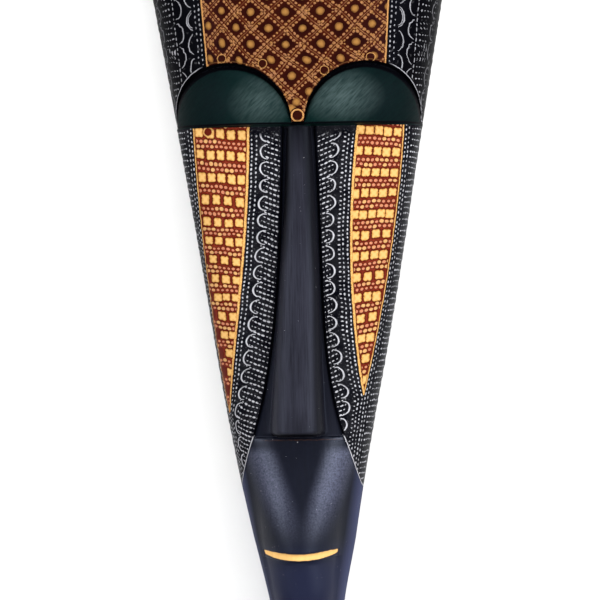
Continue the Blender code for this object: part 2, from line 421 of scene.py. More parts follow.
def sides(left, right):
    """the left half, mirrored, then the right half"""
    return np.concatenate([left[:, :0:-1], right], axis=1)


def both(field, sign=1.0):
    """the same half on both sides, with its sign turned on the left if sign is -1"""
    return sides(sign * field, field)


def waviness(x, y):
    """a sum of a few slow waves that run across each other"""
    total = np.zeros_like(x)
    for turn, (fx, fy) in enumerate(WAVES):
        total += np.sin(fx * x + fy * y + 1.7 * turn) / (1.0 + 0.35 * turn)
    return total


def swung(x, y):
    """x (1 + swell bump - fall step), less a slow swing to one side above the chin"""
    fall = smooth((CHIN_FALL_START - y) / CHIN_FALL_RUN)
    wider = 1.0 + SWELL * bump(y, *SWELL_SPAN) - CHIN_FALL * fall
    return x * wider - SWING * bump(y, *SWING_SPAN)


across, y, x, z = both(across_half), both(y_half), both(x_half, -1.0), both(z_half)
inside = 1.0 - across**6
leaning = (LEAN_SIDE + LEAN_TURN * y) * bump(y, *LEAN_SPAN) * (1.0 - across**2)
x_carved = swung(x, y) + leaning - LIP_SWING * bump(y, lip_y, LIP_SPAN) * inside
quick, slow, other = (turns * y for turns in BEAD_TURNS)
beads = np.sin(quick + 2.0 * np.sin(slow)) * np.abs(np.sin(other + 0.7 * np.sign(x)))
beads *= across**8 * smooth((y - BEADS_FROM) / FROM_RUN) * smooth((BEADS_TO - y) / TO_RUN)
x_carved += np.sign(x) * BEAD * beads
z_carved = np.maximum(0.0, z + WAVE * waviness(x, y) * inside * np.minimum(1.0, z / WAVE_FADE))
rows, cols = x.shape
print("points of the front:", rows * cols)

# %% [markdown]
# ## Where the painted lines run
#
# The painter divides the face before drawing anything small. A panel fills the forehead, and a
# wedge narrows down each cheek. The scene does the same: each dividing line is laid over the
# carved surface as a chain of points. Then every point of the skin learns its true distance from
# that line, and how far along the line it lies. A motif drawn in those two numbers follows the
# line and keeps its size, also where the wood turns away steeply.

# %% Dividing lines
PANEL_HALF, PANEL_FLARE, PANEL_LEVEL = 0.0523, 0.070, 0.1117  # half width at a level, and slope
PANEL_TOP, PANEL_ARCH, PANEL_TAIL = 0.222, 0.050, 0.06
WEDGE_TOP = 0.0735  # y where both wedges begin
# y of the tip, then start, end, power and sag of the inner and of the outer line
LEFT_WEDGE = -0.0930, (0.0285, 0.0402, 1.5, 0.0), (0.0612, 0.0402, 1.9, 0.0016)
RIGHT_WEDGE = -0.0841, (0.0340, 0.0368, 1.0, 0.0062), (0.0620, 0.0368, 1.7, 0.0024)
WEDGES = LEFT_WEDGE, RIGHT_WEDGE

points = np.stack([x_half, y_half, z_half], axis=2).reshape(-1, 3)
shape = x_half.shape


def panel_half(y):
    """half width of the forehead's panel, with a round top"""
    wide = PANEL_HALF + PANEL_FLARE * (y - PANEL_LEVEL)
    return wide * arch((PANEL_TOP - y) / PANEL_ARCH, 2.4)


def bowed(q, start, end, power, sag):
    """start + (end - start) q^power - 4 sag q (1 - q)"""
    return start + (end - start) * q**power - 4.0 * sag * q * (1.0 - q)


def wedge_line(y, tip, line):
    """a bowed line with q from 0 at the eyes to 1 at the tip, then along the taper to the jaw"""
    q = np.clip((WEDGE_TOP - y) / (WEDGE_TOP - tip), 0.0, 1.0)
    return bowed(q, *line) * half_width(np.minimum(y, tip)) / half_width(np.array(tip))


def on_front(line_x, line_y):
    """the chain x, y with z as a mean of the four nearest points, weighed by 1 / distance^2"""
    chain = np.stack([line_x, line_y], axis=1)
    gap = ((points[None, :, :2] - chain[:, None]) ** 2).sum(axis=2)
    near = np.argpartition(gap, 4, axis=1)[:, :4]
    weight = 1.0 / (np.take_along_axis(gap, near, axis=1) + 1e-9)
    return np.column_stack([chain, (points[near, 2] * weight).sum(axis=1) / weight.sum(axis=1)])


def nearest_on(line, points):
    """distance to the chain, and the length along it of the nearest place, both in metres"""
    step = np.diff(line, axis=0)
    length = np.linalg.norm(step, axis=1)
    start = np.concatenate([[0.0], np.cumsum(length)])
    best, run = np.full(len(points), np.inf), np.zeros(len(points))
    for chunk in np.array_split(np.arange(len(points)), 1 + len(points) // 4000):
        p = points[chunk]
        near = ((p[:, None] - line[None]) ** 2).sum(axis=2).argmin(axis=1)
        for offset in (-1, 0):
            k = np.clip(near + offset, 0, len(step) - 1)
            share_on = np.clip(((p - line[k]) * step[k]).sum(axis=1) / length[k] ** 2, 0.0, 1.0)
            gap = np.linalg.norm(p - line[k] - step[k] * share_on[:, None], axis=1)
            closer = gap < best[chunk]
            best[chunk[closer]] = gap[closer]
            run[chunk[closer]] = (start[k] + length[k] * share_on)[closer]
    return best, run


y_down = mix(PANEL_TOP, brow_line(np.array(BROW_PEAK)), spaced(140, 1.6))
panel_line = on_front(panel_half(y_down), y_down)
heading = (panel_line[-1] - panel_line[-2]) / (y_down[-1] - y_down[-2])
tail = panel_line[-1] - PANEL_TAIL * heading * spaced(40)[1:, None]
panel_line = np.concatenate([panel_line, tail])
y_cheek = mix(eye_y + 0.004, place(JAW_CORNER) - 0.004, spaced(160))
print("panel line ends at, mm:", np.round(MM * panel_line[[0, -1]], 1).tolist())

# %% [markdown]
# A few of the carved lines serve as guides in the same way: the brow, which carries a thin pale
# line, the edges of the eyelid, and the edge of the furrow beside the nose.

# %% Distances over the whole skin
last_of = {name: np.flatnonzero(band[:, 0] == number)[-1] for name, number in BAND.items()}
furrow_column = NOSE_COLUMNS + FURROW_COLUMNS + STEP_COLUMNS


def skin_line(*place_in_grid):
    """a row, or a part of a column, of the half skin as a chain of points"""
    return np.stack([field[place_in_grid] for field in (x_half, y_half, z_half)], axis=1)


def guide(line):
    """nearest_on for the half skin, as two grids in millimetres"""
    gap, run = nearest_on(line, points)
    return MM * gap.reshape(shape), MM * run.reshape(shape)


def signed(gap, positive):
    return np.where(positive, gap, -gap)


def wedge_gap(tip, line, way):
    """distance from one line of a wedge, positive on the side of the wedge"""
    gap, _ = guide(on_front(wedge_line(y_cheek, tip, line), y_cheek))
    return signed(gap, way * (x_half - wedge_line(y_half, tip, line)) > 0.0)


def steps_across(x, z):
    """running sum of sqrt(dx^2 + dz^2) along each row, from 0"""
    steps = np.hypot(np.diff(x, axis=1), np.diff(z, axis=1))
    return np.concatenate([np.zeros((len(steps), 1)), np.cumsum(steps, axis=1)], axis=1)


panel_gap, panel_run = guide(panel_line)
panel_gap = signed(panel_gap, (x_half > panel_half(y_half)) | (y_half > PANEL_TOP))
brow_gap, lid_gap, eye_gap, jaw_gap = (
    guide(skin_line(last_of[name]))[0] for name in ("forehead", "groove", "eyelid", "cheek")
)
brow_gap = signed(brow_gap, band == BAND["forehead"])
inner_gap = sides(*(wedge_gap(tip, inner, 1.0) for tip, inner, _ in WEDGES))
outer_gap = sides(*(wedge_gap(tip, outer, -1.0) for tip, _, outer in WEDGES))
furrow_rows = slice(last_of["eye edge"], last_of["nose edge"])
furrow_gap, _ = guide(skin_line(furrow_rows, furrow_column))
furrow_gap = signed(furrow_gap, x_half > x_half[:, furrow_column : furrow_column + 1])
girth = MM * steps_across(x_half, z_half)
on_nose = (band == BAND["cheek"]) | (band == BAND["nose edge"])
nose_out = np.where(on_nose, x_half / nose_foot(down), 0.0)
mouth_gap = (y_half - mouth_line(across_half) + 0.5 * MOUTH_WIDE) / (0.5 * MOUTH_WIDE)
print("widest girth of the front, mm:", round(2 * float(girth.max()), 1))

# %% [markdown]
# ## The back
#
# The back is hollowed with a gouge until the wall is about a finger thick, which makes the mask
# light enough to wear or to hang from one nail. Its skin joins the front along the flat rim. It
# shares the rows of the front, so that ring needs no seam.

# %% Hollow back
WALL, HOLLOW_STOP = 0.011, 0.055
HOLLOW_BROW, HOLLOW_CHIN, HOLLOW_CHIN_ARCH, HOLLOW_ROUND = 0.61, 0.52, 0.035, 2.3
GOUGE, GOUGE_FADE = 0.0004, 0.01  # depth of the gouge's furrows, and where it is reached
GOUGE_X, GOUGE_Y, GOUGE_SLANT = 190, 74, 0.015  # radians a metre, and metres a radian
GOUGE_BEND, GOUGE_BEND_TURNS = 9, 31  # radians, and radians a metre

rim_y = y[:, -1]
first_t, last_t = WALL / LENGTH, 1.0 - HOLLOW_STOP
hollow_t = mix(first_t, last_t, along(rim_y))[:, None]
hollow_across = 1.0 - (1.0 - spaced(20)) ** RIM_PACKING
hollow_across = np.concatenate([-hollow_across[:0:-1], hollow_across])[None, :]
crown_side, chin_side = hollow_t - first_t, last_t - hollow_t
hollow_half = taper(hollow_t) - WALL
hollow_half *= arch(crown_side / CROWN_ARCH, ROUND_END) * arch(chin_side / HOLLOW_CHIN_ARCH)
hollow_top = DEPTH * mix(HOLLOW_BROW, HOLLOW_CHIN, hollow_t)
hollow_top *= arch(crown_side / FOREHEAD_ARCH) * arch(chin_side / CHIN_RISE)
back_x = hollow_half * hollow_across
back_y = place(hollow_t) + 0.0 * hollow_across
back_z = section(hollow_top, HOLLOW_ROUND, np.abs(hollow_across))
bend = GOUGE_BEND * np.sin(GOUGE_BEND_TURNS * back_y)
scallop = np.sin(GOUGE_X * back_x + bend) * np.sin(GOUGE_Y * back_y + back_x / GOUGE_SLANT)
back_z -= GOUGE * np.abs(scallop) * np.minimum(1.0, back_z / GOUGE_FADE)
back_x = swung(back_x, back_y)
print("deepest point of the hollow, mm:", round(MM * float(back_z.max()), 1))

# %% [markdown]
# ## One closed skin
#
# Front, rim and back become one mesh. Where the rows shrink to a point at the crown and the
# chin, the four-sided faces lose a corner and become triangles, so the skin stays closed. Each
# face also takes its finish here: forehead, eyelid, cheek, plain black, bare wood or nose.


# %% Build the mesh
def number_points(first, count_rows, count_cols):
    """index of every grid point, with the first and the last row each drawn into one point"""
    index = np.empty((count_rows, count_cols), dtype=np.int64)
    index[0] = first
    index[1:-1] = first + 1 + np.arange((count_rows - 2) * count_cols).reshape(count_rows - 2, -1)
    index[-1] = first + 1 + (count_rows - 2) * count_cols
    return index


def to_points(*fields):
    """the grids' values in the order of number_points"""
    stacked = np.stack([np.broadcast_to(f, fields[0].shape) for f in fields], axis=2)
    return np.concatenate([stacked[:1, 0], stacked[1:-1].reshape(-1, len(fields)), stacked[-1:, 0]])


def corners_of(grid):
    """the four corners of every cell of a grid, counter-clockwise seen from +Z"""
    corners = [grid[:-1, :-1], grid[1:, :-1], grid[1:, 1:], grid[:-1, 1:]]
    return np.stack(corners, axis=2).reshape((-1, 4) + grid.shape[2:])


def between_rims(front, back):
    """a grid of the back with the front's first and last column on either side"""
    return np.concatenate([front[:, :1], back, front[:, -1:]], axis=1)


def map_grid(x, z, low_v, high_v, row_y):
    """a flat layout of a grid: u along the mask, v across it by true width"""
    total = steps_across(x, z)
    v = mix(low_v, high_v, (total - 0.5 * total[:, -1:]) / total[:, -1].max() + 0.5)
    return np.stack([np.broadcast_to(0.01 + 0.98 * along(row_y), v.shape), v], axis=2)


front_index = number_points(0, rows, cols)
hollow_index = number_points(front_index.max() + 1, rows, back_x.shape[1])
back_index = between_rims(front_index, hollow_index)[:, ::-1]
vertices = np.concatenate([to_points(x_carved, y, z_carved), to_points(back_x, back_y, back_z)])
front_map = map_grid(x, z, 0.01, 0.56, y)
back_map = map_grid(between_rims(x, back_x), between_rims(z, back_z), 0.58, 0.99, rim_y[:, None])

FOREHEAD_SLOT, LID_SLOT, CHEEK_SLOT, BLACK_SLOT, WOOD_SLOT, NOSE_SLOT = range(6)
cell_band = band[1:]
cheek_row = cell_band == BAND["cheek"]
near_nose = np.arange(shape[1] - 1)[None, :] < furrow_column - STEP_COLUMNS
half_slot = np.select(
    [cell_band <= BAND["groove"], cell_band <= BAND["eye edge"], cheek_row & near_nose, cheek_row],
    [FOREHEAD_SLOT, LID_SLOT, NOSE_SLOT, CHEEK_SLOT],
    BLACK_SLOT,
)
front_slot = np.concatenate([half_slot[:, ::-1], half_slot], axis=1)
back_slot = np.full((rows - 1, back_index.shape[1] - 1), WOOD_SLOT)
back_slot[:, [0, -1]] = BLACK_SLOT

quads = np.concatenate([corners_of(front_index), corners_of(back_index)])
layout = np.concatenate([corners_of(front_map), corners_of(back_map[:, ::-1])])
slot_of = np.concatenate([front_slot.ravel(), back_slot.ravel()])
top_cut, bottom_cut = quads[:, 0] == quads[:, 3], quads[:, 1] == quads[:, 2]
whole = ~top_cut & ~bottom_cut
kinds = (whole, [0, 1, 2, 3]), (top_cut & ~bottom_cut, [0, 1, 2]), (bottom_cut & ~top_cut, [0, 1, 3])
faces, corner_map, face_slot = [], [], []
for chosen, keep in kinds:
    faces += quads[chosen][:, keep].tolist()
    corner_map.append(layout[chosen][:, keep].reshape(-1, 2))
    face_slot.append(slot_of[chosen])

mesh = bpy.data.meshes.new("carved_mask")
mesh.from_pydata(vertices.tolist(), [], faces)
mesh.polygons.foreach_set("material_index", np.concatenate(face_slot).astype(np.int32))
mesh.shade_smooth()
corner_map = np.concatenate(corner_map).astype(np.float32)
mesh.uv_layers.new(name="OFBake").data.foreach_set("uv", corner_map.ravel())


def in_scene(name, data):
    """a new object for the data, in the scene"""
    thing = bpy.data.objects.new(name, data)
    bpy.context.scene.collection.objects.link(thing)
    return thing


def write_attribute(name, *fields):
    """three values for every point of the front, zero on the back"""
    values = np.zeros((len(vertices), 3), dtype=np.float32)
    values[: front_index.max() + 1] = to_points(*fields)
    mesh.attributes.new(name, "FLOAT_VECTOR", "POINT").data.foreach_set("vector", values.ravel())


write_attribute("panel", both(girth, -1.0), MM * y, both(brow_gap))
write_attribute("border", both(panel_gap), both(panel_run), both(panel_run))
write_attribute("wedge", inner_gap, outer_gap, both(furrow_gap))
write_attribute("lid", both(lid_gap), both(eye_gap), both(jaw_gap))
write_attribute("mouth", across / MOUTH_REACH, both(mouth_gap), both(nose_out))
mask = in_scene("carved_mask", mesh)

a, b, c = (vertices[np.array([f[k] for f in faces])] for k in range(3))
volume = np.einsum("ij,ij->i", a, np.cross(b, c)).sum() / 6.0
print("points:", len(vertices), "faces:", len(faces), "turned outwards:", volume > 0)

# %% [markdown]
# ## Sums for a shader
#
# A pattern like this one is a few sums over a place's coordinates: how far to the nearest dot,
# whether that is less than its radius. `Value` lets such sums be written as plain formulas. Each
# operation adds one math node, so the finished material is an ordinary node tree.


# %% A number that varies over the surface
def plug(node, inputs):
    """each input linked to a value or socket, or set to a constant"""
    for key, item in inputs.items():
        item = getattr(item, "socket", item)
        if isinstance(item, bpy.types.NodeSocket):
            node.id_data.links.new(item, node.inputs[key])
        else:
            node.inputs[key].default_value = item


def wired(tree, kind, inputs, **settings):
    """the outputs of a new node with these settings and inputs"""
    node = tree.nodes.new("ShaderNode" + kind)
    for name, setting in settings.items():
        setattr(node, name, setting)
    plug(node, inputs)
    return node.outputs


class Value:
    """the output of a shader node, with the usual arithmetic"""

    def __init__(self, tree, socket):
        self.tree, self.socket = tree, socket

    def math(self, operation, *others, clamp=False):
        inputs = dict(enumerate((self, *others)))
        outputs = wired(self.tree, "Math", inputs, operation=operation, use_clamp=clamp)
        return Value(self.tree, outputs[0])

    __add__ = __radd__ = partialmethod(math, "ADD")
    __sub__ = partialmethod(math, "SUBTRACT")
    __mul__ = __rmul__ = partialmethod(math, "MULTIPLY")
    __truediv__ = partialmethod(math, "DIVIDE")
    __pow__ = partialmethod(math, "POWER")
    __neg__ = partialmethod(math, "MULTIPLY", -1.0)
    __abs__ = partialmethod(math, "ABSOLUTE")
    floor = partialmethod(math, "FLOOR")
    rounded = partialmethod(math, "ROUND")
    least = partialmethod(math, "MINIMUM")
    most = partialmethod(math, "MAXIMUM")

    def __rsub__(self, other):
        return self * -1.0 + other

    def held(self):
        """the value held between 0 and 1"""
        return self.most(0.0).least(1.0)

    def falling(self, start, run):
        """0 above start, going over to 1 a run below it"""
        return ((start - self) / run).held()

    def stray(self, amount):
        """(value - 0.5) amount: a noise as a shift to both sides"""
        return (self - 0.5) * amount

    def nearest(self, pitch):
        """number of the nearest multiple of pitch"""
        return (self / pitch).rounded()

    def wrapped(self, pitch):
        """signed distance to the nearest multiple of pitch"""
        return self - self.nearest(pitch) * pitch

    def over(self, limit, soft=0.18):
        """0 below the limit and 1 above it, going over within soft"""
        return ((self - limit) / soft).math("ADD", 0.5, clamp=True)

    def under(self, limit, soft=0.18):
        """1 below the limit and 0 above it, going over within soft"""
        return ((limit - self) / soft).math("ADD", 0.5, clamp=True)


def length2(a, b):
    """sqrt(a^2 + b^2)"""
    return (a * a + b * b) ** 0.5


def from_place(x, y, place):
    """sqrt((x - place_x)^2 + (y - place_y)^2)"""
    return length2(x - place[0], y - place[1])


def blob(a, b, radius_a, radius_b):
    """1 inside an ellipse, with a softened edge"""
    return length2(a / radius_a, b / radius_b).under(1.0, 0.25)


def stripe(value, centre, half_stroke):
    """1 where value lies within half_stroke of centre"""
    return abs(value - centre).under(half_stroke)


# %% [markdown]
# ## Paint and wood
#
# Most colours are the mask's own: near-black paint that looks blue where it mirrors the light,
# bottle-green lids, a maroon ground, and wax lines rubbed with ochre and white. A few are painted
# light instead: painted highlights on the lids, the nose, the muzzle and the discs, a painted
# reflection along the sides, and painted shade on the lids, round the cheek's marks and under the
# brow. A painter's hand shows in three ways. Lines wander, which comes from a slow noise added to
# the coordinates. Dots differ in size. And the paint wears thin in places, so no colour is one
# flat value.


# %% Material helpers
LIT = 2.25  # how many times brighter than its own colour a face looks under these lights
SIDE_RUN = 0.001  # metres over which the left side's drawing changes to the right side's


def srgb(red, green, blue):
    """a colour as it looks when lit, 0 to 255, as the linear colour of the paint"""
    value = np.array([red, green, blue]) / 255.0
    linear = np.where(value <= 0.04045, value / 12.92, ((value + 0.055) / 1.055) ** 2.4)
    return (*(linear / LIT).tolist(), 1.0)


# the third black is a painted highlight for the nose's front
BLACK, BLACK_DEEP, HIGHLIGHT_GREY = srgb(16, 19, 33), srgb(5, 5, 9), srgb(50, 51, 62)
# the second colour here is a painted reflection along the sides, and the third a painted highlight
# for the muzzle
BLUE_BLACK, REFLECTION_BLUE, HIGHLIGHT_BLUE_GREY = srgb(28, 32, 60), srgb(60, 66, 106), srgb(108, 112, 136)
WHITE_LINE, EDGE_TAN = srgb(228, 228, 236), srgb(206, 150, 90)
YELLOW, OCHRE = srgb(253, 202, 126), srgb(222, 160, 82)
TAN, MAROON, MAROON_DARK = srgb(234, 150, 112), srgb(140, 54, 36), srgb(86, 21, 10)
BROWN, BROWN_DARK, DUSTY_TAN = srgb(72, 25, 12), srgb(36, 10, 8), srgb(172, 118, 86)
# the second honey is a painted highlight on the discs' domes
HONEY, HONEY_HIGHLIGHT, HONEY_DARK = srgb(174, 122, 66), srgb(190, 138, 72), srgb(132, 88, 46)
# the second green is painted shade for the lids' outer ends, and the third a painted highlight on
# their inner parts
GREEN, GREEN_SHADE, GREEN_HIGHLIGHT = srgb(13, 38, 36), srgb(7, 18, 20), srgb(80, 98, 98)
WOOD_LIGHT, WOOD_DARK, WOOD_RAW = srgb(186, 134, 80), srgb(122, 78, 44), srgb(288, 232, 144)
MIRRORED = (0.68, 0.77, 1.0, 1.0)  # the paint mirrors the light a little blue


class Finish:
    """a material being put together around one Principled shader"""

    def __init__(self, name):
        self.material = bpy.data.materials.new(name)
        self.material.use_nodes = True
        self.tree = self.material.node_tree
        self.shader = self.tree.nodes["Principled BSDF"]
        self.place = self.tree.nodes.new("ShaderNodeTexCoord").outputs["Object"]
        self.x, self.y, _ = self.split(self.place)

    def coordinates(self, name):
        """the three values of a mesh attribute"""
        return self.split(wired(self.tree, "Attribute", {}, attribute_name=name)["Vector"])

    def split(self, vector):
        outputs = wired(self.tree, "SeparateXYZ", {0: vector})
        return tuple(Value(self.tree, output) for output in outputs)

    def noise_over(self, vector, detail, roughness=0.5):
        """noise with features of size 1 in the vector: its value, and a second one"""
        inputs = {"Vector": vector, "Scale": 1.0, "Detail": detail, "Roughness": roughness}
        outputs = wired(self.tree, "TexNoise", inputs)
        _, second, _ = self.split(outputs["Color"])
        return Value(self.tree, outputs[0]), second

    def noise(self, scale, detail=2.0, roughness=0.5):
        """noise of about scale features a metre, with one scale for all axes or one for each"""
        inputs = {0: self.place, 1: np.broadcast_to(scale, 3).tolist()}
        scaled = wired(self.tree, "VectorMath", inputs, operation="MULTIPLY")[0]
        return self.noise_over(scaled, detail, roughness)

    def slanted_noise(self, along, across):
        """noise drawn out along the rising diagonal: along and across features a metre"""
        diagonal = {0: (self.x - self.y) * (0.7 * along), 1: (self.x + self.y) * (0.7 * across)}
        return self.noise_over(wired(self.tree, "CombineXYZ", diagonal)[0], 3.0)

    def chance(self, a, b, seed):
        """a random value from 0 to 1 for each pair of whole numbers"""
        pair = wired(self.tree, "CombineXYZ", {0: a, 1: b, 2: seed})[0]
        return Value(self.tree, wired(self.tree, "TexWhiteNoise", {"Vector": pair})["Value"])

    def blend(self, below, above, share):
        """below where share is 0, above where it is 1: colours or sockets. Inputs 6 and 7 and
        output 2 are the Mix node's own for colours"""
        return wired(self.tree, "Mix", {0: share, 6: below, 7: above}, data_type="RGBA")[2]

    def dusty(self, colour):
        """the colour with a few specks of pale dust"""
        specks, _ = self.noise(900, 1.0)
        return self.blend(colour, WHITE_LINE, specks.over(0.81, 0.02) * 0.8)

    def finish(self, colour, roughness, relief, depth, gloss):
        """link the colour and roughness, and the relief as a bump of that depth in metres"""
        normal = wired(self.tree, "Bump", {"Height": relief, "Distance": depth, "Strength": 1.0})[0]
        plug(self.shader, {"Base Color": colour, "Roughness": roughness, "Normal": normal})
        plug(self.shader, {"Specular IOR Level": gloss, "Specular Tint": MIRRORED})
        return self.material

    def waxed(self, colour, strokes, wear):
        """the finish of a drawn surface: the strokes stand up, the paint is a little uneven"""
        return self.finish(colour, 0.32 + wear * 0.16, strokes * 0.8 + wear * 0.25, 0.0009, 0.006)


# %% [markdown]
# ## Motifs
#
# The same few strokes come back all over the mask: a line of dots, a line of little arches, and
# rows of short dashes. A resist painter draws each with one dip of the tool. Here chance varies
# the dots' size and gives some arches a second stroke inside.


# %% Strokes
class Drawn:
    """strokes in two coordinates: d across a band and r along it, both in millimetres, and
    both moved by the four slow and quick noises of the painter's hand"""

    def __init__(self, finish, d, r, seed, hand):
        self.finish, self.seed = finish, seed
        wander, swing, quiver, shiver = hand
        self.d = d + wander.stray(1.6) + quiver.stray(0.5)
        self.r = r + swing.stray(2.4) + shiver.stray(0.6)

    def dots(self, at, pitch=3.0, across=0.46, length=0.72, phase=0.0):
        """a line of dots at d = at"""
        r = self.r + (phase + 0.37 * at)
        size = 0.72 + 0.5 * self.finish.chance(r.nearest(pitch), self.d * 0.0 + at, self.seed)
        return blob((self.d - at) / size, r.wrapped(pitch) / size, across, length)

    def arcs(self, foot, crown, pitch, half_length, phase=0.0, half_stroke=0.34, second=0.5):
        """arcs with both feet at d = foot and the crown at d = crown, of radius
        (half_length^2 + rise^2) / (2 rise). Some, by chance, get a second stroke inside."""
        rise = abs(crown - foot)
        way = 1.0 if crown > foot else -1.0
        radius = (half_length**2 + rise**2) / (2.0 * rise)
        along_arc = self.r + phase
        number = along_arc.nearest(pitch)
        chance = self.finish.chance(number, self.d * 0.0 + foot, self.seed + 0.5)
        out = (self.d - crown) * way + radius + chance.stray(0.5)
        beside = along_arc - number * pitch
        from_arc = length2(out, beside) - radius
        taper = (beside * beside) * (-0.5 * half_stroke / half_length**2) + half_stroke
        first = (taper - abs(from_arc)).over(0.0, 0.2)
        inner = (taper * 0.8 - abs(from_arc + 1.1)).over(0.0, 0.2) * chance.over(1.0 - second, 0.01)
        return first.most(inner) * (out - (radius - rise)).over(0.0, 0.3)

    def rows(self, start, stop, pitch_d, pitch_r, across=0.85, length=0.42, slope=0.0):
        """rows of short dashes across the band, from d = start to d = stop"""
        r = self.r + self.d * slope
        number = r.nearest(pitch_r)
        d = self.d + self.finish.chance(number, number * 0.0, self.seed + 1.5) * (0.5 * pitch_d)
        size = 0.6 + 0.6 * self.finish.chance(d.nearest(pitch_d), number, self.seed + 2.5)
        dash = blob(d.wrapped(pitch_d) / size, (r - number * pitch_r) / size, across, length)
        return dash * self.d.over(start, 0.3) * self.d.under(stop, 0.3)


def all_of(*strokes):
    """the strongest of several strokes"""
    drawn = strokes[0]
    for stroke in strokes[1:]:
        drawn = drawn.most(stroke)
    return drawn


# %% [markdown]
# ## The forehead
#
# The panel is a lattice: discs on a diamond grid, with double rows of beads crossing between
# them. It bends down a little at the sides, and it is pulled together at its left border and
# near its lower tip, as in hand work. Outside its tan border the black wood carries dots, arches
# bulging outwards, arches bulging back, and rows of dots that fade towards the rim.

# %% Forehead material
DISC_PITCH, DISC_RISE = 20.3, 18.6  # mm between discs, across and along
DISC_SIDE, DISC_LEVEL = 0.275, 140.3  # where the lattice is laid: in discs across, in mm along
CELL = 1.0 / math.hypot(1.0 / DISC_PITCH, 1.0 / DISC_RISE)  # mm for one step over the diamonds
BEAD_STEP, BEAD_ROW = 2.5 / CELL, 1.6  # step along a row, in cells, and mm from the middle line
BENT, PULL_FROM, PULL = 0.00095, 27.0, 0.2  # rows bend by BENT g^2; the left is pulled together
SLIP_FROM, SLIP_RUN, SLIP = 118.0, 10.0, 2.6  # mm: the lattice slips sideways near the tip
DISC, TIP_RING, STAMP = 2.5, 3.4, 2.5  # radii in mm
LAST_DISC, TIP = (0.4, 88.2), (0.9, 80.4)  # places in mm
STAMPS = (-42.8, 114.3), (-18.8, 110.7), (16.8, 106.3), (43.7, 113.7)  # rings beside the brow


